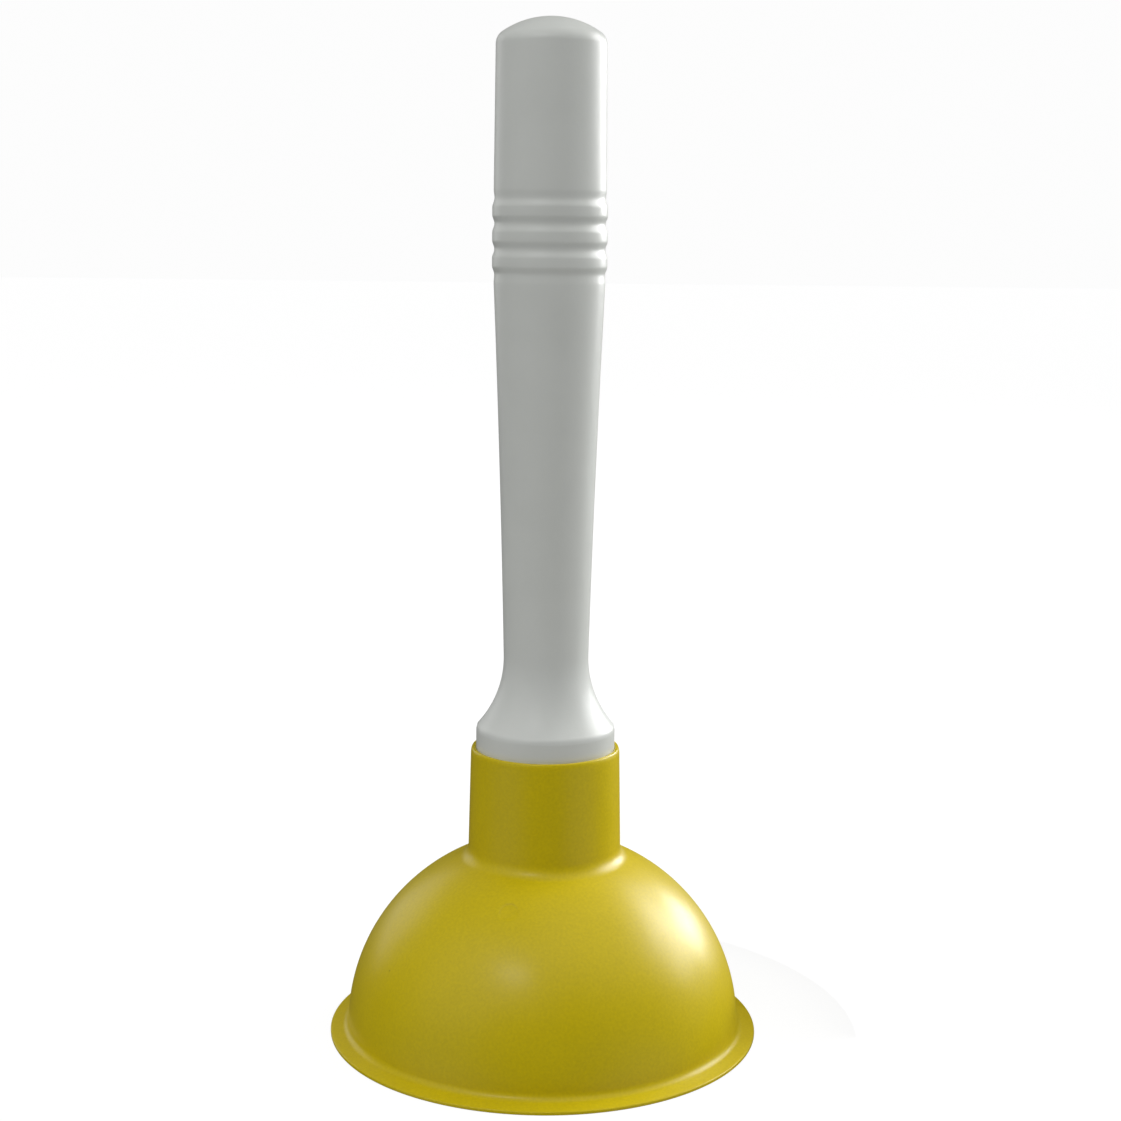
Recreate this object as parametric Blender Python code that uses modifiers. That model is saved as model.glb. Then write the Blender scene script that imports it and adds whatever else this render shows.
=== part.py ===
"""Sink plunger: a yellow rubber force cup on a hollow, blow-moulded handle.

Frame: the origin is the centre of the cup's rim, on the plane that it stands on, and +Z runs
up the handle. Everything is in metres.

One object for each piece, as the plunger comes apart on a bench:
  rubber_cup    neck sleeve, end web, dome and rim flange, all one moulding
  handle_shell  hollow handle: crown, beaded grip, tapered waist, flare and spigot
  base_plug     ribbed plug pressed into the shell's open foot, with the screw's boss
  clamp_washer  spreads the screw's pull over the rubber web
  fixing_screw  self-tapping screw, driven up from inside the cup

The handle, its plug, the washer and the screw move as one along the Z axis, and the dome gives
way under them. Their origins are on that axis.
"""

import math

import bmesh
import bpy
from mathutils import Matrix, Vector

GAP = 0.0003  # left between pieces that touch

# Rubber cup: rim flange and dome, whose outside and inside are half ellipses
RIM_RADIUS = 0.0575
RIM_EDGE_TOP = 0.0010
FLANGE_ROOT_TOP = 0.0021
FLANGE_FILLET = 0.0022
RIM_EDGE_ROUND = 0.0003
DOME_RADIUS = 0.0527
DOME_RISE = 0.0506
DOME_CENTRE_Z = 0.0021
FLANGE_SLOPE = math.degrees(math.atan2(FLANGE_ROOT_TOP - RIM_EDGE_TOP, RIM_RADIUS - DOME_RADIUS))
HOLLOW_RADIUS = 0.0499
HOLLOW_RISE = 0.0464
MOUTH_ROUND = 0.0009

# Rubber cup: neck sleeve, the web across its foot and the pad that the washer presses on
NECK_TOP = 0.0782
NECK_FOOT_RADIUS = 0.0204
NECK_FOOT_Z = 0.0500
NECK_DRAFT = 0.0225  # radius lost for each unit of height
NECK_FILLET = 0.0042
LIP_ROUND_OUT = 0.0005
LIP_ROUND_DOWN = 0.0018
WEB_TOP = 0.0520
PAD_Z = 0.0465
WEB_HOLE_RADIUS = 0.0027

# Handle shell, from the crown down
HANDLE_TOP = 0.2669
CROWN_RADIUS = 0.0221
CROWN_EDGE_ROUND = 0.0038
GRIP_TOP_RADIUS = 0.0141
GRIP_FOOT_RADIUS = 0.01442
GROOVE_COUNT = 4
GROOVE_PITCH = 0.00641
GROOVE_TOP_Z = 0.2218
GROOVE_HALF_WIDTH = 0.0023
GROOVE_FLOOR_RADIUS = 0.01422
BEAD_RADIUS = 0.01478
TAPER_TOP_RADIUS = 0.01433
TAPER_TOP_Z = GROOVE_TOP_Z - (GROOVE_COUNT - 1) * GROOVE_PITCH - GROOVE_HALF_WIDTH
WAIST_RADIUS = 0.0112
WAIST_Z = 0.1031
TAPER_SAG = 0.00025  # how far the taper's middle lies inside a straight line
FLARE_RADIUS = 0.0280
FLARE_EDGE_Z = 0.0840
SPIGOT_RADIUS = 0.0184
SPIGOT_TOP_Z = 0.0832
SPIGOT_FOOT_Z = WEB_TOP + GAP
SPIGOT_CHAMFER = 0.0004
SHELL_WALL = 0.0021
SPIGOT_WALL = 0.0032
SEAT_RADIUS = 0.0162  # bore that holds the plug
SEAT_TOP_Z = 0.0665

# Base plug
PLUG_RADIUS = SEAT_RADIUS - GAP
PLUG_TOP_Z = SEAT_TOP_Z - GAP
PLUG_WALL = 0.0018
PLUG_FLOOR = 0.0028
BOSS_RADIUS = 0.0042
BOSS_TOP_Z = 0.0725
PILOT_RADIUS = 0.0024
PILOT_TOP_Z = 0.0707  # the boss is blind, so that no water gets into the handle
RIB_COUNT = 6
RIB_THICKNESS = 0.0014
RIB_HEIGHT = 0.0085

# Clamp washer
WASHER_RADIUS = 0.0120
WASHER_HOLE_RADIUS = 0.0025
WASHER_THICKNESS = 0.0012
WASHER_EDGE_ROUND = 0.0003

# Fixing screw: number 8 by one inch
SCREW_RADIUS = 0.0021
SCREW_ROOT_RADIUS = 0.0015
SCREW_LENGTH = 0.0250
SCREW_PITCH = 0.0018
RIDGE_SHARE = 0.31  # half of the thread ridge's foot, as a share of the pitch
SCREW_TIP = 0.0040
HEAD_RADIUS = 0.0040
HEAD_HEIGHT = 0.0027
HEAD_RIM = 0.0006  # upright edge under the head's dome
RECESS_WIDTH = 0.0010
RECESS_LENGTH = 0.0044
RECESS_DEPTH = 0.0015

# Facets
CUP_STEPS = 60
HANDLE_STEPS = 40
SMALL_STEPS = 32
THREAD_STEPS = 12
THREAD_ROWS_PER_TURN = 5
SHARP_ANGLE = math.radians(35)
HALVINGS = 40  # enough to fix an angle to the last digit

MERGE = 0.00001

YELLOW_RUBBER = ((0.56, 0.44, 0.015), 0.42, 0.0)
WHITE_PLASTIC = ((0.72, 0.74, 0.70), 0.33, 0.0)
PLUG_PLASTIC = ((0.55, 0.57, 0.55), 0.45, 0.0)
ZINC_STEEL = ((0.62, 0.63, 0.65), 0.32, 1.0)


def new_collection(name):
    """A collection linked to the scene."""
    collection = bpy.data.collections.new(name)
    bpy.context.scene.collection.children.link(collection)
    return collection


def new_object(name, collection, finish=None):
    """An empty mesh object, with a material of its own when a finish is given."""
    obj = bpy.data.objects.new(name, bpy.data.meshes.new(name))
    collection.objects.link(obj)
    if finish:
        colour, roughness, metallic = finish
        material = bpy.data.materials.new(name)
        material.use_nodes = True
        shader = material.node_tree.nodes["Principled BSDF"]
        shader.inputs["Base Color"].default_value = (*colour, 1.0)
        shader.inputs["Roughness"].default_value = roughness
        shader.inputs["Metallic"].default_value = metallic
        obj.data.materials.append(material)
    return obj


def turn(obj, profile, steps, closed):
    """Turn a profile of (radius, height) points about the Z axis with a Screw modifier.

    The profile runs down its outer side and back up its inner side. A closed profile is the
    section of a ring; an open one starts and ends on the axis.
    """
    bm = bmesh.new()
    points = []
    for radius, height in profile:
        on_axis = radius < MERGE
        points.append(bm.verts.new((0.0 if on_axis else radius, 0.0, height)))
    for first, second in zip(points, points[1:]):
        bm.edges.new((first, second))
    if closed:
        bm.edges.new((points[-1], points[0]))
    bm.to_mesh(obj.data)
    bm.free()
    screw = obj.modifiers.new("turn", "SCREW")
    screw.steps = steps
    screw.render_steps = steps
    screw.use_merge_vertices = True
    screw.merge_threshold = MERGE


def arc(centre, radii, start, end, count):
    """Points on an ellipse's arc, between two angles in degrees from the +radius direction."""
    points = []
    for i in range(count + 1):
        angle = math.radians(start + (end - start) * i / count)
        points.append(
            (centre[0] + radii[0] * math.cos(angle), centre[1] + radii[1] * math.sin(angle))
        )
    return points


def shade(obj):
    """Smooth shading that keeps real edges crisp."""
    obj.data.shade_smooth()
    obj.data.set_sharp_from_angle(angle=SHARP_ANGLE)


def neck_radius(height):
    return NECK_FOOT_RADIUS - NECK_DRAFT * (height - NECK_FOOT_Z)


def neck_fillet():
    """The concave arc between neck and dome, and the dome angle, in degrees, where it lands.

    Its centre is one fillet radius outside both. Going down the dome, that offset curve moves
    outwards, so halving the angle's range finds where it passes under the neck's own offset.
    """
    low, high = 0.0, 90.0
    for _ in range(HALVINGS):
        middle = math.radians((low + high) / 2)
        normal = Vector((DOME_RISE * math.sin(middle), DOME_RADIUS * math.cos(middle))).normalized()
        radius = DOME_RADIUS * math.sin(middle) + NECK_FILLET * normal.x
        height = DOME_CENTRE_Z + DOME_RISE * math.cos(middle) + NECK_FILLET * normal.y
        if radius < neck_radius(height) + NECK_FILLET:
            low = math.degrees(middle)
        else:
            high = math.degrees(middle)
    landing = math.degrees(math.atan2(-normal.y, -normal.x)) % 360
    return arc((radius, height), (NECK_FILLET, NECK_FILLET), 180, landing, 4), 90 - low


def cup_profile():
    lip_centre = (neck_radius(NECK_TOP - LIP_ROUND_DOWN) - LIP_ROUND_OUT, NECK_TOP - LIP_ROUND_DOWN)
    fillet, dome_start = neck_fillet()
    dome_foot = FLANGE_ROOT_TOP + FLANGE_FILLET
    dome_end = math.degrees(math.asin((dome_foot - DOME_CENTRE_Z) / DOME_RISE))
    dome_centre = (0.0, DOME_CENTRE_Z)
    hollow_end = math.degrees(math.asin((PAD_Z - DOME_CENTRE_Z) / HOLLOW_RISE))
    spigot_bore = SPIGOT_RADIUS + GAP
    return [
        (spigot_bore, NECK_TOP),
        *arc(lip_centre, (LIP_ROUND_OUT, LIP_ROUND_DOWN), 90, 0, 3),
        *fillet,
        *arc(dome_centre, (DOME_RADIUS, DOME_RISE), dome_start, dome_end, 12)[1:],
        *arc(
            (DOME_RADIUS + FLANGE_FILLET, dome_foot),
            (FLANGE_FILLET, FLANGE_FILLET),
            180,
            270 - FLANGE_SLOPE,
            2,
        )[1:],
        *arc(
            (RIM_RADIUS - RIM_EDGE_ROUND, RIM_EDGE_TOP - RIM_EDGE_ROUND),
            (RIM_EDGE_ROUND, RIM_EDGE_ROUND),
            90 - FLANGE_SLOPE,
            0,
            1,
        ),
        (RIM_RADIUS, RIM_EDGE_ROUND),
        (RIM_RADIUS - RIM_EDGE_ROUND, 0.0),
        (HOLLOW_RADIUS + MOUTH_ROUND, 0.0),
        (HOLLOW_RADIUS, MOUTH_ROUND),
        *arc(dome_centre, (HOLLOW_RADIUS, HOLLOW_RISE), 0, hollow_end, 9),
        (WEB_HOLE_RADIUS, PAD_Z),
        (WEB_HOLE_RADIUS, WEB_TOP),
        (spigot_bore, WEB_TOP),
    ]


def groove_section(index):
    """One rounded groove between two lands, as a raised cosine."""
    centre = GROOVE_TOP_Z - index * GROOVE_PITCH
    upper_land = GRIP_FOOT_RADIUS if index == 0 else BEAD_RADIUS
    lower_land = TAPER_TOP_RADIUS if index == GROOVE_COUNT - 1 else BEAD_RADIUS
    points = []
    for share in (-1.0, -0.5, 0.0, 0.5, 1.0):
        land = upper_land if share < 0 else lower_land
        depth = (land - GROOVE_FLOOR_RADIUS) * (1 + math.cos(math.pi * share)) / 2
        points.append((land - depth, centre - share * GROOVE_HALF_WIDTH))
    return points


def taper(inset, count):
    """The slightly hollow taper from the beads down to the waist, moved inwards by an inset."""
    points = []
    for i in range(count + 1):
        share = i / count
        radius = TAPER_TOP_RADIUS + (WAIST_RADIUS - TAPER_TOP_RADIUS) * share
        radius -= 4 * TAPER_SAG * share * (1 - share) + inset
        points.append((radius, TAPER_TOP_Z + (WAIST_Z - TAPER_TOP_Z) * share))
    return points


def flare(inset, edge_height, count):
    """The concave flare, tangent to the taper at the waist, down to a height."""
    straight = (TAPER_TOP_RADIUS - WAIST_RADIUS) / (TAPER_TOP_Z - WAIST_Z)
    slope = math.atan(straight - 4 * TAPER_SAG / (TAPER_TOP_Z - WAIST_Z))
    centre = (
        WAIST_RADIUS + FLARE_RADIUS * math.cos(slope),
        WAIST_Z - FLARE_RADIUS * math.sin(slope),
    )
    radius = FLARE_RADIUS + inset
    edge = 180 + math.degrees(math.asin((centre[1] - edge_height) / radius))
    return arc(centre, (radius, radius), 180 - math.degrees(slope), edge, count)


def handle_profile():
    crown_centre_z = HANDLE_TOP - CROWN_RADIUS
    round_radius = GRIP_TOP_RADIUS - CROWN_EDGE_ROUND
    round_angle = math.degrees(math.acos(round_radius / (CROWN_RADIUS - CROWN_EDGE_ROUND)))
    round_z = crown_centre_z + round_radius * math.tan(math.radians(round_angle))
    inner_crown = CROWN_RADIUS - SHELL_WALL
    inner_grip = GRIP_TOP_RADIUS - SHELL_WALL
    inner_angle = math.degrees(math.acos(inner_grip / inner_crown))
    profile = arc((0.0, crown_centre_z), (CROWN_RADIUS, CROWN_RADIUS), 90, round_angle, 5)
    profile += arc(
        (round_radius, round_z), (CROWN_EDGE_ROUND, CROWN_EDGE_ROUND), round_angle, 0, 2
    )[1:]
    for index in range(GROOVE_COUNT):
        profile += groove_section(index)
    profile += taper(0.0, 7)[1:]
    profile += flare(0.0, FLARE_EDGE_Z, 7)[1:]
    profile += [
        (SPIGOT_RADIUS, SPIGOT_TOP_Z),
        (SPIGOT_RADIUS, SPIGOT_FOOT_Z + SPIGOT_CHAMFER),
        (SPIGOT_RADIUS - SPIGOT_CHAMFER, SPIGOT_FOOT_Z),
        (SEAT_RADIUS, SPIGOT_FOOT_Z),
        (SEAT_RADIUS, SEAT_TOP_Z),
        (SPIGOT_RADIUS - SPIGOT_WALL, SEAT_TOP_Z),
        (SPIGOT_RADIUS - SPIGOT_WALL, SPIGOT_TOP_Z),
    ]
    profile += list(reversed(flare(SHELL_WALL, FLARE_EDGE_Z + SHELL_WALL / 2, 4)))
    profile += list(reversed(taper(SHELL_WALL, 2)))[1:]
    profile += arc((0.0, crown_centre_z), (inner_crown, inner_crown), inner_angle, 90, 3)
    return profile


def plug_profile():
    return [
        (0.0, BOSS_TOP_Z),
        (BOSS_RADIUS, BOSS_TOP_Z),
        (BOSS_RADIUS, SPIGOT_FOOT_Z + PLUG_FLOOR),
        (PLUG_RADIUS - PLUG_WALL, SPIGOT_FOOT_Z + PLUG_FLOOR),
        (PLUG_RADIUS - PLUG_WALL, PLUG_TOP_Z),
        (PLUG_RADIUS, PLUG_TOP_Z),
        (PLUG_RADIUS, SPIGOT_FOOT_Z),
        (PILOT_RADIUS, SPIGOT_FOOT_Z),
        (PILOT_RADIUS, PILOT_TOP_Z),
        (0.0, PILOT_TOP_Z),
    ]


def washer_profile():
    top = PAD_Z - GAP
    foot = top - WASHER_THICKNESS
    return [
        (WASHER_HOLE_RADIUS, top),
        (WASHER_RADIUS - WASHER_EDGE_ROUND, top),
        (WASHER_RADIUS, top - WASHER_EDGE_ROUND),
        (WASHER_RADIUS, foot + WASHER_EDGE_ROUND),
        (WASHER_RADIUS - WASHER_EDGE_ROUND, foot),
        (WASHER_HOLE_RADIUS, foot),
    ]


def add_box(bm, size, centre, angle=0.0):
    """A box turned about the Z axis by an angle, after it is put in its place."""
    place = Matrix.Rotation(angle, 4, "Z") @ Matrix.Translation(centre)
    stretch = Matrix.Diagonal((*size, 1.0))
    bmesh.ops.create_cube(bm, size=1.0, matrix=place @ stretch)


def combine(obj, other, operation):
    boolean = obj.modifiers.new(other.name, "BOOLEAN")
    boolean.operation = operation
    boolean.solver = "EXACT"
    boolean.object = other
    boolean.use_self = True


def new_cutter(name, cutters):
    cutter = new_object(name, cutters)
    cutter.hide_render = True
    cutter.display_type = "WIRE"
    return cutter


def make_cup(parts):
    cup = new_object("rubber_cup", parts, YELLOW_RUBBER)
    turn(cup, cup_profile(), CUP_STEPS, closed=True)
    shade(cup)


def make_handle_shell(parts):
    shell = new_object("handle_shell", parts, WHITE_PLASTIC)
    turn(shell, handle_profile(), HANDLE_STEPS, closed=False)
    shade(shell)


def make_base_plug(parts, cutters):
    """The turned plug, with ribs that run from its boss to its wall."""
    plug = new_object("base_plug", parts, PLUG_PLASTIC)
    turn(plug, plug_profile(), SMALL_STEPS, closed=False)
    shade(plug)
    rib_start = (PILOT_RADIUS + BOSS_RADIUS) / 2
    rib_end = PLUG_RADIUS - PLUG_WALL / 2
    rib_floor = SPIGOT_FOOT_Z + PLUG_FLOOR / 2
    rib_top = SPIGOT_FOOT_Z + PLUG_FLOOR + RIB_HEIGHT
    size = Vector((rib_end - rib_start, RIB_THICKNESS, rib_top - rib_floor))
    centre = Vector(((rib_start + rib_end) / 2, 0.0, (rib_floor + rib_top) / 2))
    ribs = new_cutter("plug_ribs", cutters)
    bm = bmesh.new()
    for index in range(RIB_COUNT):
        add_box(bm, size, centre, math.tau * (index + 0.5) / RIB_COUNT)
    bm.to_mesh(ribs.data)
    bm.free()
    combine(plug, ribs, "UNION")


def make_clamp_washer(parts):
    washer = new_object("clamp_washer", parts, ZINC_STEEL)
    turn(washer, washer_profile(), SMALL_STEPS, closed=True)
    shade(washer)


def thread_radius(height, angle, head_face, tip):
    """The shank's radius: a helical ridge on a core that runs to a point at the tip."""
    phase = ((height - head_face) / SCREW_PITCH - angle / math.tau) % 1.0
    ridge = max(0.0, 1.0 - abs(phase - 0.5) / RIDGE_SHARE)
    narrowing = min(1.0, (tip - height) / SCREW_TIP)
    return (SCREW_ROOT_RADIUS + (SCREW_RADIUS - SCREW_ROOT_RADIUS) * ridge) * narrowing


def make_fixing_screw(parts, cutters):
    """Pan head with a cross recess, and a threaded shank that is joined to it."""
    head_face = PAD_Z - WASHER_THICKNESS - 2 * GAP
    tip = head_face + SCREW_LENGTH
    screw = new_object("fixing_screw", parts, ZINC_STEEL)
    head = [(0.0, head_face), (HEAD_RADIUS, head_face)]
    head += arc((0.0, head_face - HEAD_RIM), (HEAD_RADIUS, HEAD_HEIGHT - HEAD_RIM), 0, -90, 6)
    turn(screw, head, SMALL_STEPS, closed=False)
    shade(screw)

    shank = new_cutter("screw_shank", cutters)
    rows = round((SCREW_LENGTH + HEAD_HEIGHT / 2) / SCREW_PITCH * THREAD_ROWS_PER_TURN)
    bottom = head_face - HEAD_HEIGHT / 2
    bm = bmesh.new()
    rings = []
    for row in range(rows):
        height = bottom + (tip - bottom) * row / rows
        ring = []
        for step in range(THREAD_STEPS):
            angle = math.tau * step / THREAD_STEPS
            radius = thread_radius(height, angle, head_face, tip)
            ring.append(bm.verts.new((radius * math.cos(angle), radius * math.sin(angle), height)))
        rings.append(ring)
    point = bm.verts.new((0.0, 0.0, tip))
    for step in range(THREAD_STEPS):
        following = (step + 1) % THREAD_STEPS
        for lower, upper in zip(rings, rings[1:]):
            bm.faces.new((lower[step], lower[following], upper[following], upper[step]))
        bm.faces.new((rings[-1][step], rings[-1][following], point))
    bm.faces.new(list(reversed(rings[0])))
    bm.to_mesh(shank.data)
    bm.free()
    combine(screw, shank, "UNION")

    recess = new_cutter("screw_recess", cutters)
    centre = Vector((0.0, 0.0, head_face - HEAD_HEIGHT))
    bm = bmesh.new()
    for angle in (0.0, math.pi / 2):
        add_box(bm, Vector((RECESS_LENGTH, RECESS_WIDTH, 2 * RECESS_DEPTH)), centre, angle)
    bm.to_mesh(recess.data)
    bm.free()
    combine(screw, recess, "DIFFERENCE")


def main():
    for obj in list(bpy.data.objects):
        bpy.data.objects.remove(obj, do_unlink=True)
    parts = new_collection("sink_plunger")
    cutters = new_collection("cutters")
    make_cup(parts)
    make_handle_shell(parts)
    make_base_plug(parts, cutters)
    make_clamp_washer(parts)
    make_fixing_screw(parts, cutters)


main()
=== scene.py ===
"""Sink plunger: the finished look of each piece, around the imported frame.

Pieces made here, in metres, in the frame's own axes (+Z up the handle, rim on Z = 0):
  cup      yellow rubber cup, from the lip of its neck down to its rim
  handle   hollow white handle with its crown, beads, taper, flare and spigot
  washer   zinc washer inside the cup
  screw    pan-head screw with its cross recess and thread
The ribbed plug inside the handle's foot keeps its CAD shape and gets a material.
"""
import math

import bmesh
import bpy
from mathutils import Matrix, Vector


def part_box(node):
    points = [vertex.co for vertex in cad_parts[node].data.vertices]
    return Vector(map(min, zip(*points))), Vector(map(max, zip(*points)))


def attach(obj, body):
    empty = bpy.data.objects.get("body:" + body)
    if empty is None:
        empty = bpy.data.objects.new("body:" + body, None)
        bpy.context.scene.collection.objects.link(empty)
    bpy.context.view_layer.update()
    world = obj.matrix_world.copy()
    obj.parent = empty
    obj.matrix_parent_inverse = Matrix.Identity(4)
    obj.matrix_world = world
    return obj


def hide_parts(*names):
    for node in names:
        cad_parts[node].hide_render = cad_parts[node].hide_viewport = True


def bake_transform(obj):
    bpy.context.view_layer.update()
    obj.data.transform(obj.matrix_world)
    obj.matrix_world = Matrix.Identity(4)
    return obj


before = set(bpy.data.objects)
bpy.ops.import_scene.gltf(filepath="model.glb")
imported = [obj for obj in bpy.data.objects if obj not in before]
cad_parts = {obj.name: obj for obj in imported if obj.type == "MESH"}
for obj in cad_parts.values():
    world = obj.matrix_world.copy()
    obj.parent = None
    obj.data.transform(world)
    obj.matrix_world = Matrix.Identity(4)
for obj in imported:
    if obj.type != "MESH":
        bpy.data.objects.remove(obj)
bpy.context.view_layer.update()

cup_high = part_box("rubber_cup")[1]
handle_low, handle_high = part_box("handle_shell")
washer_low, washer_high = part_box("clamp_washer")
screw_low, screw_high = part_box("fixing_screw")

# Rubber cup, as in the frame
RIM_RADIUS = cup_high.x
NECK_TOP = cup_high.z
RIM_EDGE_TOP = 0.0010
RIM_EDGE_ROUND = 0.00035
FLANGE_ROOT_TOP = 0.0021
FLANGE_FILLET = 0.0022
DOME_RADIUS = 0.0527
DOME_RISE = 0.0506
DOME_CENTRE_Z = 0.0021
HOLLOW_RADIUS = 0.0499
HOLLOW_RISE = 0.0464
MOUTH_ROUND = 0.0009
NECK_FOOT_RADIUS = 0.0204
NECK_FOOT_Z = 0.0500
NECK_DRAFT = 0.0225
NECK_FILLET = 0.0042
LIP_ROUND_OUT = 0.0005
LIP_ROUND_DOWN = 0.0018
LIP_ROUND_IN = 0.0005
WEB_TOP = 0.0520
PAD_Z = 0.0465
PAD_ROUND = 0.0010
WEB_HOLE_RADIUS = 0.0027
FIT = 0.00003  # what the neck is clear of the spigot by

# Handle, as in the frame
HANDLE_TOP = handle_high.z
SPIGOT_RADIUS = handle_high.x
SPIGOT_FOOT_Z = handle_low.z
CROWN_RADIUS = 0.0221
CROWN_EDGE_ROUND = 0.0038
GRIP_TOP_RADIUS = 0.0141
GRIP_FOOT_RADIUS = 0.01442
GROOVE_COUNT = 4
GROOVE_PITCH = 0.00641
GROOVE_TOP_Z = 0.2218
GROOVE_HALF_WIDTH = 0.0023
GROOVE_FLOOR_RADIUS = 0.01422
BEAD_RADIUS = 0.01478
TAPER_TOP_RADIUS = 0.01433
TAPER_TOP_Z = GROOVE_TOP_Z - (GROOVE_COUNT - 1) * GROOVE_PITCH - GROOVE_HALF_WIDTH
WAIST_RADIUS = 0.0112
WAIST_Z = 0.1031
TAPER_SAG = 0.00025
FLARE_RADIUS = 0.0280
FLARE_EDGE_Z = 0.0840
FLARE_EDGE_ROUND = 0.00025
SPIGOT_TOP_Z = 0.0832
SPIGOT_CHAMFER = 0.0004
SHELL_WALL = 0.0021
SPIGOT_WALL = 0.0032
SEAT_RADIUS = 0.0162
SEAT_TOP_Z = 0.0665

# Surface marks: azimuths are measured from -Y towards +X
GATE_AZIMUTH = math.radians(-16)
GATE_DOME_ANGLE = 53.0
GATE_RADIUS = 0.0024
GATE_DEPTH = 0.00032
GATE_EDGE = 0.0001  # how gently the dent starts
GATE_REACH = 0.0032  # how far round the dent the mesh is finer
GATE_STEP = 0.00014
GATE_COLUMNS = 48
SEAM_AZIMUTHS = (math.radians(96), math.radians(276))
SEAM_HALF_WIDTH = 0.00022
SEAM_HEIGHT = 0.00007
SEAM_REACH = math.radians(3)
SEAM_COLUMNS = 24

# Washer and screw
WASHER_HOLE_RADIUS = 0.0025
WASHER_EDGE_ROUND = 0.0003
SCREW_RADIUS = 0.0021
SCREW_ROOT_RADIUS = 0.0015
SCREW_PITCH = 0.0018
THREAD_STEP = 0.00015
RIDGE_SHARE = 0.31
SCREW_TIP = 0.0040
HEAD_HEIGHT = 0.0027
HEAD_RIM = 0.0006
RECESS_WIDTH = 0.0010
RECESS_LENGTH = 0.0044
RECESS_DEPTH = 0.0015
RECESS_MOUTH_SCALE = 1.2
RECESS_FLOOR_SCALE = 0.55

# Facets
TURN_STEPS = 240
SMALL_STEPS = 96
GROOVE_STEPS = 8  # each side of a groove's middle
TAPER_STEPS = 60
INNER_TAPER_STEPS = 8
HALVINGS = 40  # in a search by halving
ON_AXIS = 1e-7
SAME_POINT = 1e-6
SHARP_ANGLE = math.radians(50)
SCREW_SHARP_ANGLE = math.radians(35)

# Longest steps along a section
ARC_STEP = 0.0006
FINE_STEP = 0.0001  # the smallest edge rounds
ROUND_STEP = 0.0002  # small rounds and the flange's fillet
FILLET_STEP = 0.0003
FLAT_STEP = 0.0010
SHAFT_STEP = 0.0015
HIDDEN_STEP = 0.0020
PAD_STEP = 0.0012


def arc(centre, radii, start, end, step=ARC_STEP):
    """Points along an ellipse's arc, between two angles in degrees from the +radius direction."""
    length = max(radii) * abs(math.radians(end - start))
    count = max(4, math.ceil(length / step))
    points = []
    for i in range(count + 1):
        angle = math.radians(start + (end - start) * i / count)
        points.append(
            (centre[0] + radii[0] * math.cos(angle), centre[1] + radii[1] * math.sin(angle))
        )
    return points


def line(start, end, step):
    """Points along a straight stretch, both ends included."""
    length = math.hypot(end[0] - start[0], end[1] - start[1])
    count = max(1, math.ceil(length / step))
    return [
        (start[0] + (end[0] - start[0]) * i / count, start[1] + (end[1] - start[1]) * i / count)
        for i in range(count + 1)
    ]


def joined(*stretches):
    """One section out of several stretches, without the points that repeat."""
    points = []
    for stretch in stretches:
        for point in stretch:
            if not points or math.hypot(point[0] - points[-1][0], point[1] - points[-1][1]) > SAME_POINT:
                points.append(point)
    return points


def turn_angles(steps, dense_places=(), dense_half=0.0, dense_count=0):
    """Even angles round the axis from -Y, with closer ones near the azimuths of small details."""
    angles = []
    for i in range(steps):
        angle = math.tau * i / steps
        if all(abs(signed(angle - place)) > dense_half for place in dense_places):
            angles.append(angle)
    for place in dense_places:
        for i in range(dense_count + 1):
            angles.append((place + dense_half * (2 * i / dense_count - 1)) % math.tau)
    return sorted(angles)


def signed(angle):
    """An angle brought between -pi and pi."""
    return (angle + math.pi) % math.tau - math.pi


def turned(name, section, angles, closed, relief=None):
    """A turned mesh from a section of (radius, height) points that runs down its outer side.

    relief(azimuth, radius, height) gives how far a point stands proud of the turned surface.
    """
    bm = bmesh.new()
    rings = []
    for radius, height in section:
        if radius < ON_AXIS:
            rings.append([bm.verts.new((0.0, 0.0, height))])
            continue
        ring = []
        for angle in angles:
            proud = relief(angle, radius, height) if relief else 0.0
            reach = radius + proud
            ring.append(bm.verts.new((reach * math.sin(angle), -reach * math.cos(angle), height)))
        rings.append(ring)
    pairs = list(zip(rings, rings[1:]))
    if closed:
        pairs.append((rings[-1], rings[0]))
    count = len(angles)
    for upper, lower in pairs:
        for i in range(count):
            j = (i + 1) % count
            corners = [upper[i % len(upper)], lower[i % len(lower)]]
            if len(lower) > 1:
                corners.append(lower[j])
            if len(upper) > 1:
                corners.append(upper[j])
            bm.faces.new(corners)
    return finished(name, bm)


def finished(name, bm):
    """The mesh as an object in the scene, shaded smooth."""
    mesh = bpy.data.meshes.new(name)
    bm.to_mesh(mesh)
    bm.free()
    mesh.shade_smooth()
    obj = bpy.data.objects.new(name, mesh)
    bpy.context.scene.collection.objects.link(obj)
    return obj


# ---- Rubber cup ----


def neck_radius(height):
    return NECK_FOOT_RADIUS - NECK_DRAFT * (height - NECK_FOOT_Z)


def neck_fillet():
    """The concave arc between neck and dome, and the dome angle, in degrees, where it lands."""
    low, high = 0.0, 90.0
    for _ in range(HALVINGS):
        middle = math.radians((low + high) / 2)
        normal = Vector((DOME_RISE * math.sin(middle), DOME_RADIUS * math.cos(middle))).normalized()
        radius = DOME_RADIUS * math.sin(middle) + NECK_FILLET * normal.x
        height = DOME_CENTRE_Z + DOME_RISE * math.cos(middle) + NECK_FILLET * normal.y
        if radius < neck_radius(height) + NECK_FILLET:
            low = math.degrees(middle)
        else:
            high = math.degrees(middle)
    landing = math.degrees(math.atan2(-normal.y, -normal.x)) % 360
    return arc((radius, height), (NECK_FILLET, NECK_FILLET), 180, landing, FILLET_STEP), 90 - low


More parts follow.
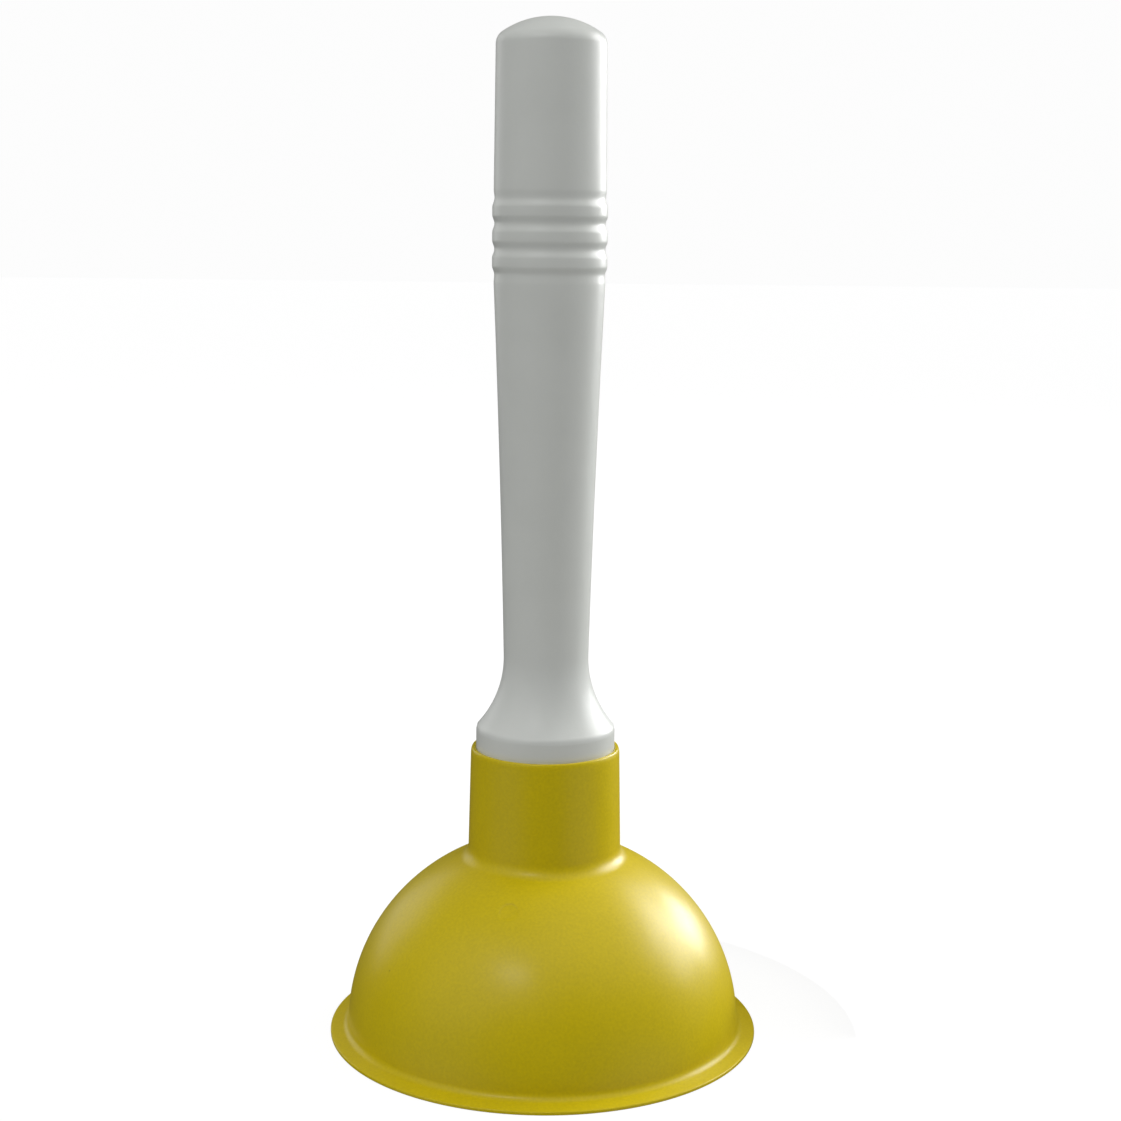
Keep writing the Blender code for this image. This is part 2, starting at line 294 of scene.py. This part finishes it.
def flange_fillet():
    """The concave arc between dome and flange, and the dome angle, in degrees, where it starts."""
    run = RIM_RADIUS - DOME_RADIUS
    slope = math.atan2(FLANGE_ROOT_TOP - RIM_EDGE_TOP, run)
    low, high = 0.0, 30.0
    for _ in range(HALVINGS):
        middle = math.radians((low + high) / 2)
        normal = Vector((DOME_RISE * math.cos(middle), DOME_RADIUS * math.sin(middle))).normalized()
        radius = DOME_RADIUS * math.cos(middle) + FLANGE_FILLET * normal.x
        height = DOME_CENTRE_Z + DOME_RISE * math.sin(middle) + FLANGE_FILLET * normal.y
        flange_top = FLANGE_ROOT_TOP - (radius - DOME_RADIUS) * math.tan(slope)
        if (height - flange_top) * math.cos(slope) < FLANGE_FILLET:
            low = math.degrees(middle)
        else:
            high = math.degrees(middle)
    start = 180 + math.degrees(math.atan2(normal.y, normal.x))
    end = 270 - math.degrees(slope)
    return arc((radius, height), (FLANGE_FILLET,) * 2, start, end, ROUND_STEP), low


def dome_arc(start, end):
    """The dome's outer side between two angles, with closer points at the gate's dent."""
    reach = math.degrees(GATE_REACH / DOME_RISE)
    centre = (0.0, DOME_CENTRE_Z)
    radii = (DOME_RADIUS, DOME_RISE)
    return joined(
        arc(centre, radii, start, GATE_DOME_ANGLE + reach),
        arc(centre, radii, GATE_DOME_ANGLE + reach, GATE_DOME_ANGLE - reach, GATE_STEP),
        arc(centre, radii, GATE_DOME_ANGLE - reach, end),
    )


def cup_section():
    bore = SPIGOT_RADIUS + FIT
    lip_centre = (neck_radius(NECK_TOP - LIP_ROUND_DOWN) - LIP_ROUND_OUT, NECK_TOP - LIP_ROUND_DOWN)
    fillet, dome_start = neck_fillet()
    flange_slope = math.degrees(math.atan2(FLANGE_ROOT_TOP - RIM_EDGE_TOP, RIM_RADIUS - DOME_RADIUS))
    flange_root, dome_end = flange_fillet()
    hollow_end = math.degrees(math.asin((PAD_Z - PAD_ROUND - DOME_CENTRE_Z) / HOLLOW_RISE))
    dome_centre = (0.0, DOME_CENTRE_Z)
    lip = arc(lip_centre, (LIP_ROUND_OUT, LIP_ROUND_DOWN), 90, 0, ROUND_STEP)
    rim = arc(
        (RIM_RADIUS - RIM_EDGE_ROUND, RIM_EDGE_TOP - RIM_EDGE_ROUND),
        (RIM_EDGE_ROUND, RIM_EDGE_ROUND),
        90 - flange_slope,
        0,
        FINE_STEP,
    )
    rim_foot = arc(
        (RIM_RADIUS - RIM_EDGE_ROUND, RIM_EDGE_ROUND),
        (RIM_EDGE_ROUND, RIM_EDGE_ROUND),
        0,
        -90,
        FINE_STEP,
    )
    mouth = arc((HOLLOW_RADIUS + MOUTH_ROUND, MOUTH_ROUND), (MOUTH_ROUND,) * 2, 270, 180, ROUND_STEP)
    hollow = arc(dome_centre, (HOLLOW_RADIUS, HOLLOW_RISE), 0, hollow_end, FLAT_STEP)
    pad_edge = hollow[-1][0] - PAD_ROUND
    return joined(
        arc((bore + LIP_ROUND_IN, NECK_TOP - LIP_ROUND_IN), (LIP_ROUND_IN,) * 2, 180, 90, FINE_STEP),
        lip,
        line(lip[-1], fillet[0], FLAT_STEP),
        fillet,
        dome_arc(dome_start, dome_end),
        flange_root,
        line(flange_root[-1], rim[0], ARC_STEP),
        rim,
        rim_foot,
        line(rim_foot[-1], mouth[0], FLAT_STEP),
        mouth,
        hollow,
        arc((pad_edge, PAD_Z - PAD_ROUND), (PAD_ROUND,) * 2, 0, 90, ROUND_STEP),
        line((pad_edge, PAD_Z), (WEB_HOLE_RADIUS, PAD_Z), PAD_STEP),
        line((WEB_HOLE_RADIUS, PAD_Z), (WEB_HOLE_RADIUS, WEB_TOP), PAD_STEP),
        line((WEB_HOLE_RADIUS, WEB_TOP), (bore, WEB_TOP), HIDDEN_STEP),
        line((bore, WEB_TOP), (bore, NECK_TOP - LIP_ROUND_IN), HIDDEN_STEP),
    )


def gate_relief(angle, radius, height):
    """The shallow round dent that the mould's gate leaves on the dome."""
    gate_radius = DOME_RADIUS * math.cos(math.radians(GATE_DOME_ANGLE))
    gate_height = DOME_CENTRE_Z + DOME_RISE * math.sin(math.radians(GATE_DOME_ANGLE))
    across = signed(angle - GATE_AZIMUTH) * gate_radius
    away = math.hypot(across, radius - gate_radius, height - gate_height)
    if away > GATE_REACH:
        return 0.0
    return -GATE_DEPTH / (1 + math.exp((away - GATE_RADIUS) / GATE_EDGE))


def make_cup():
    gate_half = GATE_REACH / (DOME_RADIUS * math.cos(math.radians(GATE_DOME_ANGLE)))
    angles = turn_angles(TURN_STEPS, (GATE_AZIMUTH,), gate_half, GATE_COLUMNS)
    cup = turned("cup", cup_section(), angles, closed=True, relief=gate_relief)
    cup.data.materials.append(rubber_material())
    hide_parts("rubber_cup")
    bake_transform(cup)
    return cup


# ---- Handle ----


def groove(index):
    """One rounded groove between two lands, as a raised cosine."""
    centre = GROOVE_TOP_Z - index * GROOVE_PITCH
    upper_land = GRIP_FOOT_RADIUS if index == 0 else BEAD_RADIUS
    lower_land = TAPER_TOP_RADIUS if index == GROOVE_COUNT - 1 else BEAD_RADIUS
    points = []
    for i in range(-GROOVE_STEPS, GROOVE_STEPS + 1):
        share = i / GROOVE_STEPS
        land = upper_land if share < 0 else lower_land
        depth = (land - GROOVE_FLOOR_RADIUS) * (1 + math.cos(math.pi * share)) / 2
        points.append((land - depth, centre - share * GROOVE_HALF_WIDTH))
    return points


def taper(inset, count):
    """The slightly hollow taper from the beads down to the waist, moved inwards by an inset."""
    points = []
    for i in range(count + 1):
        share = i / count
        radius = TAPER_TOP_RADIUS + (WAIST_RADIUS - TAPER_TOP_RADIUS) * share
        radius -= 4 * TAPER_SAG * share * (1 - share) + inset
        points.append((radius, TAPER_TOP_Z + (WAIST_Z - TAPER_TOP_Z) * share))
    return points


def flare(inset, edge_height):
    """The concave flare, tangent to the taper at the waist, down to a height."""
    straight = (TAPER_TOP_RADIUS - WAIST_RADIUS) / (TAPER_TOP_Z - WAIST_Z)
    slope = math.atan(straight - 4 * TAPER_SAG / (TAPER_TOP_Z - WAIST_Z))
    centre = (
        WAIST_RADIUS + FLARE_RADIUS * math.cos(slope),
        WAIST_Z - FLARE_RADIUS * math.sin(slope),
    )
    radius = FLARE_RADIUS + inset
    edge = 180 + math.degrees(math.asin((centre[1] - edge_height) / radius))
    return arc(centre, (radius, radius), 180 - math.degrees(slope), edge)


def handle_section():
    crown_centre = (0.0, HANDLE_TOP - CROWN_RADIUS)
    round_radius = GRIP_TOP_RADIUS - CROWN_EDGE_ROUND
    round_angle = math.degrees(math.acos(round_radius / (CROWN_RADIUS - CROWN_EDGE_ROUND)))
    round_z = crown_centre[1] + round_radius * math.tan(math.radians(round_angle))
    crown = arc(crown_centre, (CROWN_RADIUS,) * 2, 90, round_angle)
    crown_edge = arc((round_radius, round_z), (CROWN_EDGE_ROUND,) * 2, round_angle, 0, ROUND_STEP)
    grooves = [groove(index) for index in range(GROOVE_COUNT)]
    outer_flare = flare(0.0, FLARE_EDGE_Z)
    inner_crown = CROWN_RADIUS - SHELL_WALL
    inner_angle = math.degrees(math.acos((GRIP_TOP_RADIUS - SHELL_WALL) / inner_crown))
    inner_wall = SPIGOT_RADIUS - SPIGOT_WALL
    return joined(
        crown,
        crown_edge,
        line(crown_edge[-1], grooves[0][0], SHAFT_STEP),
        *grooves,
        taper(0.0, TAPER_STEPS),
        outer_flare,
        [(SPIGOT_RADIUS - FLARE_EDGE_ROUND / 2, SPIGOT_TOP_Z + FLARE_EDGE_ROUND)],
        [(SPIGOT_RADIUS, SPIGOT_TOP_Z - FLARE_EDGE_ROUND)],
        line(
            (SPIGOT_RADIUS, SPIGOT_TOP_Z - 2 * FLARE_EDGE_ROUND),
            (SPIGOT_RADIUS, SPIGOT_FOOT_Z + SPIGOT_CHAMFER),
            SHAFT_STEP,
        ),
        [(SPIGOT_RADIUS - SPIGOT_CHAMFER, SPIGOT_FOOT_Z), (SEAT_RADIUS, SPIGOT_FOOT_Z)],
        [(SEAT_RADIUS, SEAT_TOP_Z), (inner_wall, SEAT_TOP_Z), (inner_wall, SPIGOT_TOP_Z)],
        list(reversed(flare(SHELL_WALL, FLARE_EDGE_Z + SHELL_WALL / 2)))[::4],
        list(reversed(taper(SHELL_WALL, INNER_TAPER_STEPS)))[1:],
        arc(crown_centre, (inner_crown,) * 2, inner_angle, 90, HIDDEN_STEP),
    )


def seam_relief(angle, radius, height):
    """The fine parting line down both sides of the handle, which fades out on the crown."""
    if height < FLARE_EDGE_Z:
        return 0.0
    nearest = min(abs(signed(angle - place)) for place in SEAM_AZIMUTHS) * radius
    fade = min(1.0, radius / WAIST_RADIUS) ** 2
    return fade * SEAM_HEIGHT * math.exp(-((nearest / SEAM_HALF_WIDTH) ** 2))


def make_handle():
    angles = turn_angles(TURN_STEPS, SEAM_AZIMUTHS, SEAM_REACH, SEAM_COLUMNS)
    handle = turned("handle", handle_section(), angles, closed=False, relief=seam_relief)
    handle.data.set_sharp_from_angle(angle=SHARP_ANGLE)
    handle.data.materials.append(plastic_material())
    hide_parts("handle_shell")
    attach(handle, "handle")
    return handle


# ---- Washer and screw ----


def washer_section():
    top = washer_high.z
    foot = washer_low.z
    inset = washer_high.x - WASHER_EDGE_ROUND
    radii = (WASHER_EDGE_ROUND, WASHER_EDGE_ROUND)
    edge_top = arc((inset, top - WASHER_EDGE_ROUND), radii, 90, 0, FINE_STEP)
    edge_foot = arc((inset, foot + WASHER_EDGE_ROUND), radii, 0, -90, FINE_STEP)
    return joined(
        line((WASHER_HOLE_RADIUS, top), edge_top[0], FLAT_STEP),
        edge_top,
        edge_foot,
        line(edge_foot[-1], (WASHER_HOLE_RADIUS, foot), FLAT_STEP),
    )


def make_washer(zinc):
    washer = turned("washer", washer_section(), turn_angles(SMALL_STEPS), closed=True)
    washer.data.set_sharp_from_angle(angle=SHARP_ANGLE)
    washer.data.materials.append(zinc)
    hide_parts("clamp_washer")
    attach(washer, "handle")
    return washer


def screw_section():
    """The screw from its tip down to the middle of its head, without the thread."""
    tip = screw_high.z
    seat = screw_low.z + HEAD_HEIGHT
    head = screw_high.x
    bulge = HEAD_HEIGHT - HEAD_RIM
    cap = arc((0.0, screw_low.z + bulge), (head, bulge), 0, -90, ROUND_STEP)
    return joined(
        line((0.0, tip), (SCREW_ROOT_RADIUS, tip - SCREW_TIP), THREAD_STEP),
        line((SCREW_ROOT_RADIUS, tip - SCREW_TIP), (SCREW_ROOT_RADIUS, seat), THREAD_STEP),
        line((SCREW_ROOT_RADIUS, seat), (head, seat), FLAT_STEP),
        cap,
    )


def thread_relief(angle, radius, height):
    """A right-hand ridge that winds up the shank and dies out at the tip and under the head."""
    seat = screw_low.z + HEAD_HEIGHT
    if radius > SCREW_ROOT_RADIUS + ON_AXIS or height <= seat:
        return 0.0
    phase = (height / SCREW_PITCH - angle / math.tau) % 1.0
    ridge = max(0.0, 1 - abs(phase - 0.5) / (RIDGE_SHARE / 2))
    fade = min(1.0, (screw_high.z - height) / SCREW_TIP, (height - seat) / SCREW_PITCH)
    return (SCREW_RADIUS - SCREW_ROOT_RADIUS) * ridge * fade


def recess_cutter():
    """A cross-shaped plug that narrows with depth, to cut the driver's recess out of the head."""
    half = RECESS_WIDTH / 2
    arm = RECESS_LENGTH / 2
    quarter = [(half, -half), (arm, -half), (arm, half)]
    outline = []
    for turn in range(4):
        spin = Matrix.Rotation(math.radians(90 * turn), 2)
        outline += [spin @ Vector(point) for point in quarter]
    bm = bmesh.new()
    rings = []
    mouth = (screw_low.z - RECESS_DEPTH, RECESS_MOUTH_SCALE)
    floor = (screw_low.z + RECESS_DEPTH, RECESS_FLOOR_SCALE)
    for height, scale in (mouth, floor):
        rings.append([bm.verts.new((p.x * scale, p.y * scale, height)) for p in outline])
    bm.faces.new(reversed(rings[0]))
    bm.faces.new(rings[1])
    for i in range(len(outline)):
        j = (i + 1) % len(outline)
        bm.faces.new((rings[0][i], rings[0][j], rings[1][j], rings[1][i]))
    return finished("recess_cutter", bm)


def make_screw(zinc):
    angles = turn_angles(SMALL_STEPS)
    screw = turned("screw", screw_section(), angles, closed=False, relief=thread_relief)
    cutter = recess_cutter()
    cut = screw.modifiers.new("recess", "BOOLEAN")
    cut.operation = "DIFFERENCE"
    cut.solver = "EXACT"
    cut.object = cutter
    bpy.context.view_layer.update()
    uncut = screw.data
    screw.data = bpy.data.meshes.new_from_object(
        screw.evaluated_get(bpy.context.evaluated_depsgraph_get())
    )
    screw.modifiers.clear()
    bpy.data.meshes.remove(uncut)
    bpy.data.objects.remove(cutter)
    screw.data.name = "screw"
    screw.data.set_sharp_from_angle(angle=SCREW_SHARP_ANGLE)
    screw.data.materials.clear()
    screw.data.materials.append(zinc)
    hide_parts("fixing_screw")
    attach(screw, "handle")
    return screw


# ---- Materials ----


def new_material(name):
    """A material, with its node tree, its shader and its object coordinates."""
    material = bpy.data.materials.new(name)
    material.use_nodes = True
    nodes = material.node_tree.nodes
    shader = nodes["Principled BSDF"]
    place = nodes.new("ShaderNodeTexCoord").outputs["Object"]
    return material, material.node_tree, shader, place


def noise(tree, place, scale, detail=3.0, roughness=0.5):
    """A noise texture's value; the scale is in cells for each metre."""
    node = tree.nodes.new("ShaderNodeTexNoise")
    node.inputs["Scale"].default_value = scale
    node.inputs["Detail"].default_value = detail
    node.inputs["Roughness"].default_value = roughness
    tree.links.new(place, node.inputs["Vector"])
    return node.outputs["Fac"]


def spread(tree, value, low, high, start=0.3, end=0.7):
    """A value spread from one range to another, held at both ends."""
    node = tree.nodes.new("ShaderNodeMapRange")
    node.inputs["From Min"].default_value = start
    node.inputs["From Max"].default_value = end
    node.inputs["To Min"].default_value = low
    node.inputs["To Max"].default_value = high
    tree.links.new(value, node.inputs["Value"])
    return node.outputs["Result"]


def blend_colours(tree, share, first, second):
    """Two colours, or colour sockets, mixed by a share."""
    node = tree.nodes.new("ShaderNodeMix")
    node.data_type = "RGBA"
    tree.links.new(share, node.inputs["Factor"])
    for socket, colour in ((node.inputs["A"], first), (node.inputs["B"], second)):
        if isinstance(colour, tuple):
            socket.default_value = (*colour, 1.0)
        else:
            tree.links.new(colour, socket)
    return node.outputs["Result"]


def add_bump(tree, shader, layers):
    """Bump from (height value, distance in metres) layers, each on top of the last."""
    normal = None
    for height, distance in layers:
        node = tree.nodes.new("ShaderNodeBump")
        node.inputs["Strength"].default_value = 1.0
        node.inputs["Distance"].default_value = distance
        tree.links.new(height, node.inputs["Height"])
        if normal:
            tree.links.new(normal, node.inputs["Normal"])
        normal = node.outputs["Normal"]
    tree.links.new(normal, shader.inputs["Normal"])


def specks(tree, place, cell, size, rare):
    """Small round specks: 1 inside a speck, 0 elsewhere, in a share of a Voronoi pattern's cells."""
    voronoi = tree.nodes.new("ShaderNodeTexVoronoi")
    voronoi.inputs["Scale"].default_value = 1 / cell
    tree.links.new(place, voronoi.inputs["Vector"])
    near = spread(tree, voronoi.outputs["Distance"], 1.0, 0.0, size / cell * 0.5, size / cell)
    chosen = tree.nodes.new("ShaderNodeSeparateColor")
    tree.links.new(voronoi.outputs["Color"], chosen.inputs["Color"])
    picked = spread(tree, chosen.outputs["Red"], 0.0, 1.0, 1 - rare - 0.01, 1 - rare)
    both = tree.nodes.new("ShaderNodeMath")
    both.operation = "MULTIPLY"
    tree.links.new(near, both.inputs[0])
    tree.links.new(picked, both.inputs[1])
    return both.outputs["Value"]


def rubber_material():
    """Soft yellow moulding: satin skin, slightly uneven colour, fine grain and a few dark specks."""
    material, tree, shader, place = new_material("rubber_look")
    cloudy = spread(tree, noise(tree, place, 45, 4.0), 0.0, 1.0)
    mottled = spread(tree, noise(tree, place, 1400, 2.0), 0.0, 1.0)
    base = blend_colours(tree, cloudy, (0.635, 0.496, 0.001), (0.684, 0.534, 0.002))
    grained = blend_colours(tree, mottled, (0.592, 0.458, 0.001), (0.723, 0.567, 0.002))
    half = tree.nodes.new("ShaderNodeMix")
    half.data_type = "RGBA"
    half.inputs["Factor"].default_value = 0.5
    tree.links.new(base, half.inputs["A"])
    tree.links.new(grained, half.inputs["B"])
    marked = specks(tree, place, 0.0065, 0.00035, 0.10)
    speckled = blend_colours(tree, marked, half.outputs["Result"], (0.45, 0.34, 0.002))
    tree.links.new(speckled, shader.inputs["Base Color"])
    shine = spread(tree, noise(tree, place, 120, 3.0), 0.38, 0.44)
    tree.links.new(shine, shader.inputs["Roughness"])
    shader.inputs["Specular IOR Level"].default_value = 0.45
    shader.inputs["Coat Weight"].default_value = 0.25
    shader.inputs["Coat Roughness"].default_value = 0.25
    add_bump(
        tree,
        shader,
        [
            (noise(tree, place, 90, 2.0), 0.00012),
            (noise(tree, place, 2600, 2.0), 0.000006),
        ],
    )
    return material


def plastic_material():
    """Blow-moulded white plastic: satin, faintly mottled, with a light orange peel."""
    material, tree, shader, place = new_material("plastic_look")
    cloudy = spread(tree, noise(tree, place, 60, 3.0), 0.0, 1.0)
    tree.links.new(
        blend_colours(tree, cloudy, (0.70, 0.72, 0.685), (0.73, 0.75, 0.715)),
        shader.inputs["Base Color"],
    )
    shine = spread(tree, noise(tree, place, 200, 3.0), 0.33, 0.39)
    tree.links.new(shine, shader.inputs["Roughness"])
    shader.inputs["Specular IOR Level"].default_value = 0.45
    add_bump(
        tree,
        shader,
        [
            (noise(tree, place, 350, 2.0), 0.00003),
            (noise(tree, place, 2400, 2.0), 0.000008),
        ],
    )
    return material


def plug_material():
    material, tree, shader, place = new_material("plug_look")
    cloudy = spread(tree, noise(tree, place, 300, 3.0), 0.0, 1.0)
    tree.links.new(
        blend_colours(tree, cloudy, (0.50, 0.52, 0.50), (0.57, 0.59, 0.57)),
        shader.inputs["Base Color"],
    )
    tree.links.new(spread(tree, noise(tree, place, 500), 0.42, 0.55), shader.inputs["Roughness"])
    add_bump(tree, shader, [(noise(tree, place, 1500), 0.00002)])
    return material


def zinc_material():
    """Bright zinc plate: slightly cloudy, with fine scratches."""
    material, tree, shader, place = new_material("zinc_look")
    cloudy = spread(tree, noise(tree, place, 400, 4.0), 0.0, 1.0)
    tree.links.new(
        blend_colours(tree, cloudy, (0.55, 0.57, 0.60), (0.68, 0.69, 0.70)),
        shader.inputs["Base Color"],
    )
    shader.inputs["Metallic"].default_value = 1.0
    tree.links.new(spread(tree, noise(tree, place, 900), 0.25, 0.42), shader.inputs["Roughness"])
    add_bump(tree, shader, [(noise(tree, place, 3000), 0.00001)])
    return material


# ---- Camera, light and floor ----

CAMERA_PLACE = Vector((0.00355, -0.5150, 0.21336))
CAMERA_PITCH = math.radians(9.379)
CAMERA_ROLL = math.radians(0.6)
CAMERA_LENS = 63.82
SENSOR = 36.0
LIGHT_TARGET_Z = 0.10
SKY_WIDTH = 60  # degrees
CARD_RADIUS = 0.085
CARD_HEIGHT = 0.022
CARD_START = 85  # degrees from -Y towards +X
CARD_END = 180
CARD_STEPS = 16
ROOM_COLOUR = (0.95, 0.97, 1.0)
ROOM_STRENGTH = 0.035
BACKDROP_COLOUR = (0.98, 0.98, 0.98)
FLOOR_HALF_SIZE = 8.0
FLOOR_COLOUR = (0.12, 0.12, 0.12)
FLOOR_GLOW = 0.92


def make_camera():
    data = bpy.data.cameras.new("camera")
    data.lens = CAMERA_LENS
    data.sensor_width = SENSOR
    data.clip_start = 0.01
    data.clip_end = 100.0
    camera = bpy.data.objects.new("camera", data)
    turn = Matrix.Rotation(math.pi / 2 - CAMERA_PITCH, 4, "X") @ Matrix.Rotation(CAMERA_ROLL, 4, "Z")
    camera.matrix_world = Matrix.Translation(CAMERA_PLACE) @ turn
    bpy.context.scene.collection.objects.link(camera)
    bpy.context.scene.camera = camera


def towards(azimuth, elevation):
    """The direction of an azimuth from -Y towards +X and an elevation, both in degrees."""
    turn, lift = math.radians(azimuth), math.radians(elevation)
    return Vector((math.sin(turn) * math.cos(lift), -math.cos(turn) * math.cos(lift), math.sin(lift)))


def add_light(name, kind, direction, distance):
    """A light of a kind, that far from the plunger's middle and facing it."""
    data = bpy.data.lights.new(name, kind)
    light = bpy.data.objects.new(name, data)
    light.location = Vector((0, 0, LIGHT_TARGET_Z)) + distance * direction
    light.rotation_mode = "QUATERNION"
    light.rotation_quaternion = direction.to_track_quat("Z", "Y")
    bpy.context.scene.collection.objects.link(light)
    return light


def add_panel(name, azimuth, elevation, distance, size, power):
    """A soft panel of light, which shows in reflections."""
    light = add_light(name, "AREA", towards(azimuth, elevation), distance)
    light.data.shape = "RECTANGLE"
    light.data.size, light.data.size_y = size
    light.data.energy = power


def add_sky(name, azimuth, elevation, strength):
    """Even light from a wide part of the room."""
    light = add_light(name, "SUN", towards(azimuth, elevation), 1.0)
    light.data.angle = math.radians(SKY_WIDTH)
    light.data.energy = strength
    light.visible_glossy = False


def make_lights():
    add_sky("sky_left", -60, 36, 1.08)
    add_sky("sky_right", 60, 62, 1.05)
    add_sky("sky_back", 180, 52, 0.4)
    add_sky("bounce_left", -60, -30, 0.45)
    add_sky("bounce_right", 60, -30, 0.82)
    add_panel("window", 134, 12, 1.5, (0.5, 0.45), 9.2)
    add_panel("window_high", 128, 34, 1.5, (0.6, 0.4), 3.0)
    add_panel("window_side", 112, 24, 1.5, (0.7, 0.7), 9.5)
    add_panel("left_wall", -136, 14, 1.5, (0.8, 0.8), 1.9)
    add_panel("lamp", -24, 45, 1.2, (0.35, 0.12), 1.3)


def plain_material(name, colour):
    """A plain, dull material for what stands round the plunger."""
    material = bpy.data.materials.new(name)
    material.use_nodes = True
    shader = material.node_tree.nodes["Principled BSDF"]
    shader.inputs["Base Color"].default_value = (*colour, 1.0)
    shader.inputs["Roughness"].default_value = 0.9
    shader.inputs["Specular IOR Level"].default_value = 0.1
    return material


def make_card():
    """A low black card behind the cup, which keeps the windows' light off the rim flange."""
    bm = bmesh.new()
    feet = []
    heads = []
    for i in range(CARD_STEPS + 1):
        spot = towards(CARD_START + (CARD_END - CARD_START) * i / CARD_STEPS, 0) * CARD_RADIUS
        feet.append(bm.verts.new(spot))
        heads.append(bm.verts.new(spot + Vector((0, 0, CARD_HEIGHT))))
    for i in range(CARD_STEPS):
        bm.faces.new((feet[i], feet[i + 1], heads[i + 1], heads[i]))
    card = finished("card", bm)
    card.visible_camera = False
    card.data.materials.append(plain_material("black_card", (0.02, 0.02, 0.02)))


def make_world():
    """Dim, even room light, in front of a pale backdrop."""
    world = bpy.data.worlds.new("studio")
    world.use_nodes = True
    bpy.context.scene.world = world
    tree = world.node_tree
    background = tree.nodes["Background"]
    background.inputs["Color"].default_value = (*ROOM_COLOUR, 1.0)
    background.inputs["Strength"].default_value = ROOM_STRENGTH
    backdrop = tree.nodes.new("ShaderNodeBackground")
    backdrop.inputs["Color"].default_value = (*BACKDROP_COLOUR, 1.0)
    seen = tree.nodes.new("ShaderNodeLightPath").outputs["Is Camera Ray"]
    mix = tree.nodes.new("ShaderNodeMixShader")
    tree.links.new(seen, mix.inputs[0])
    tree.links.new(background.outputs[0], mix.inputs[1])
    tree.links.new(backdrop.outputs[0], mix.inputs[2])
    tree.links.new(mix.outputs[0], tree.nodes["World Output"].inputs["Surface"])


def make_floor():
    bm = bmesh.new()
    bmesh.ops.create_grid(bm, x_segments=1, y_segments=1, size=FLOOR_HALF_SIZE)
    floor = finished("floor", bm)
    material = plain_material("pale_floor", FLOOR_COLOUR)
    shader = material.node_tree.nodes["Principled BSDF"]
    shader.inputs["Emission Color"].default_value = (1.0, 1.0, 1.0, 1.0)
    shader.inputs["Emission Strength"].default_value = FLOOR_GLOW
    floor.data.materials.append(material)
    floor.visible_diffuse = False
    floor.visible_glossy = False
    floor.visible_shadow = False


make_camera()
make_world()
make_lights()
make_floor()
make_card()
make_cup()
make_handle()
zinc = zinc_material()
make_washer(zinc)
make_screw(zinc)
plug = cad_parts["base_plug"]
plug.data.materials.clear()
plug.data.materials.append(plug_material())
bpy.context.scene.view_settings.view_transform = "Standard"
